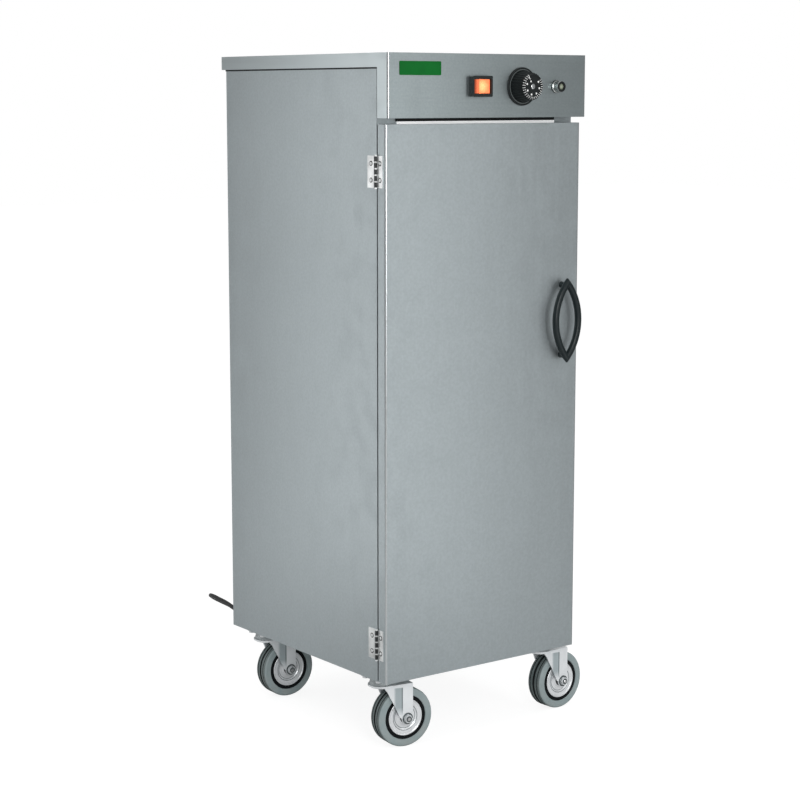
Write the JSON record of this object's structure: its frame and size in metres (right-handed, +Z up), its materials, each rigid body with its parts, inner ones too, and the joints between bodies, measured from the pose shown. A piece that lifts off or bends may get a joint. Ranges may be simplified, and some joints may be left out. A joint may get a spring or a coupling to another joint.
{
  "type": "plate warmer cabinet",
  "caption": "Insulated stainless steel plate warmer cabinet on swivel casters, with a hinged door, wire shelves and a top control panel.",
  "frame": {"origin": "on the floor, under the middle of the box around the cabinet with its casters as they stand (the mains lead left out)", "axes": "+X to the right along the front, +Y from the door to the back, +Z up"},
  "size_m": [0.4646, 0.6725, 1.125],
  "materials": {
    "outer_steel": "brushed stainless steel, matt, the sheet grain running up and down",
    "liner_steel": "bright stainless steel sheet",
    "mineral_wool": "pressed mineral wool",
    "bright_wire": "bright zinc and chrome wire",
    "element_steel": "heat-darkened steel tube",
    "copper": "copper tube and bulb",
    "ivory_plastic": "moulded ivory plastic",
    "black_plastic": "moulded black plastic",
    "orange_lens": "lit orange rocker",
    "green_lens": "grey-green lamp lens",
    "chrome": "polished chrome",
    "hinge_steel": "polished stainless steel",
    "magnet": "dark magnet block",
    "gasket": "grey silicone gasket",
    "zinc": "bright zinc-plated pressed steel",
    "wheel_core": "black moulded wheel core",
    "grey_tyre": "grey non-marking rubber",
    "black_cable": "black flexible lead"
  },
  "bodies": {
    "cabinet": {"top_hood": "outer_steel", "side_panel_left": "outer_steel", "side_panel_right": "outer_steel", "rear_panel": "outer_steel", "base_pan": "outer_steel", "front_frame": "outer_steel", "liner_left": "liner_steel", "liner_right": "liner_steel", "liner_back": "liner_steel", "liner_floor": "liner_steel", "liner_ceiling": "liner_steel", "insulation": "mineral_wool", "control_tray": "liner_steel", "shelf_runners_left": "liner_steel", "shelf_runners_right": "liner_steel", "shelf_1": "bright_wire", "shelf_2": "bright_wire", "shelf_3": "bright_wire", "heating_element": "element_steel", "element_cover": "liner_steel", "thermostat_bulb": "copper", "thermostat_body": "ivory_plastic", "knob_bezel": "black_plastic", "rocker_housing": "black_plastic", "pilot_sleeve": "chrome", "pilot_lens": "green_lens", "terminal_block": "ivory_plastic", "catch_magnet": "magnet", "cable_gland": "black_plastic", "lower_hinge_frame_leaf": "hinge_steel", "upper_hinge_frame_leaf": "hinge_steel", "hinge_pins": "hinge_steel", "caster_plates": "zinc", "caster_bolts": "zinc", "power_lead": "black_cable", "lead_coil": "black_cable", "plug": "black_cable"},
    "door": {"door_skin": "outer_steel", "door_inner_pan": "liner_steel", "door_insulation": "mineral_wool", "door_gasket": "gasket", "door_handle": "black_plastic", "lower_hinge_door_leaf": "hinge_steel", "upper_hinge_door_leaf": "hinge_steel", "strike_plate": "hinge_steel"},
    "rocker": {"rocker_button": "orange_lens"},
    "knob": {"thermostat_knob": "black_plastic", "thermostat_shaft": "hinge_steel"},
    "caster_fl": {"caster_fork_fl": "zinc"},
    "wheel_fl": {"wheel_core_fl": "wheel_core", "wheel_tyre_fl": "grey_tyre"},
    "caster_fr": {"caster_fork_fr": "zinc"},
    "wheel_fr": {"wheel_core_fr": "wheel_core", "wheel_tyre_fr": "grey_tyre"},
    "caster_rl": {"caster_fork_rl": "zinc"},
    "wheel_rl": {"wheel_core_rl": "wheel_core", "wheel_tyre_rl": "grey_tyre"},
    "caster_rr": {"caster_fork_rr": "zinc"},
    "wheel_rr": {"wheel_core_rr": "wheel_core", "wheel_tyre_rr": "grey_tyre"}
  },
  "joints": [
    {"name": "door_swing", "type": "hinge", "parent": "cabinet", "child": "door", "pos_m": [-0.22923, -0.19575, 0.57], "axis": [0, 0, -1], "range_deg": [0, 180]},
    {"name": "rocker_tilt", "type": "hinge", "parent": "cabinet", "child": "rocker", "pos_m": [-0.04974, -0.22975, 1.074], "axis": [0, 0, -1], "range_deg": [0, 16]},
    {"name": "knob_turn", "type": "hinge", "parent": "cabinet", "child": "knob", "pos_m": [0.03877, -0.23725, 1.074], "axis": [0, 1, 0], "range_deg": [0, 300]},
    {"name": "caster_swivel_fl", "type": "hinge", "parent": "cabinet", "child": "caster_fl", "pos_m": [-0.19623, -0.16225, 0.108], "axis": [0, 0, 1], "continuous": true},
    {"name": "wheel_spin_fl", "type": "hinge", "parent": "caster_fl", "child": "wheel_fl", "pos_m": [-0.1586, -0.16754, 0.05], "axis": [0.1392, 0.9903, 0], "continuous": true},
    {"name": "caster_swivel_fr", "type": "hinge", "parent": "cabinet", "child": "caster_fr", "pos_m": [0.14377, -0.16225, 0.108], "axis": [0, 0, 1], "continuous": true},
    {"name": "wheel_spin_fr", "type": "hinge", "parent": "caster_fr", "child": "wheel_fr", "pos_m": [0.18174, -0.16092, 0.05], "axis": [-0.0349, 0.9994, 0], "continuous": true},
    {"name": "caster_swivel_rl", "type": "hinge", "parent": "cabinet", "child": "caster_rl", "pos_m": [-0.19623, 0.18275, 0.108], "axis": [0, 0, 1], "continuous": true},
    {"name": "wheel_spin_rl", "type": "hinge", "parent": "caster_rl", "child": "wheel_rl", "pos_m": [-0.15829, 0.18076, 0.05], "axis": [0.0523, 0.9986, 0], "continuous": true},
    {"name": "caster_swivel_rr", "type": "hinge", "parent": "cabinet", "child": "caster_rr", "pos_m": [0.14377, 0.18275, 0.108], "axis": [0, 0, 1], "continuous": true},
    {"name": "wheel_spin_rr", "type": "hinge", "parent": "caster_rr", "child": "wheel_rr", "pos_m": [0.18162, 0.17944, 0.05], "axis": [0.0872, 0.9962, 0], "continuous": true}
  ]
}
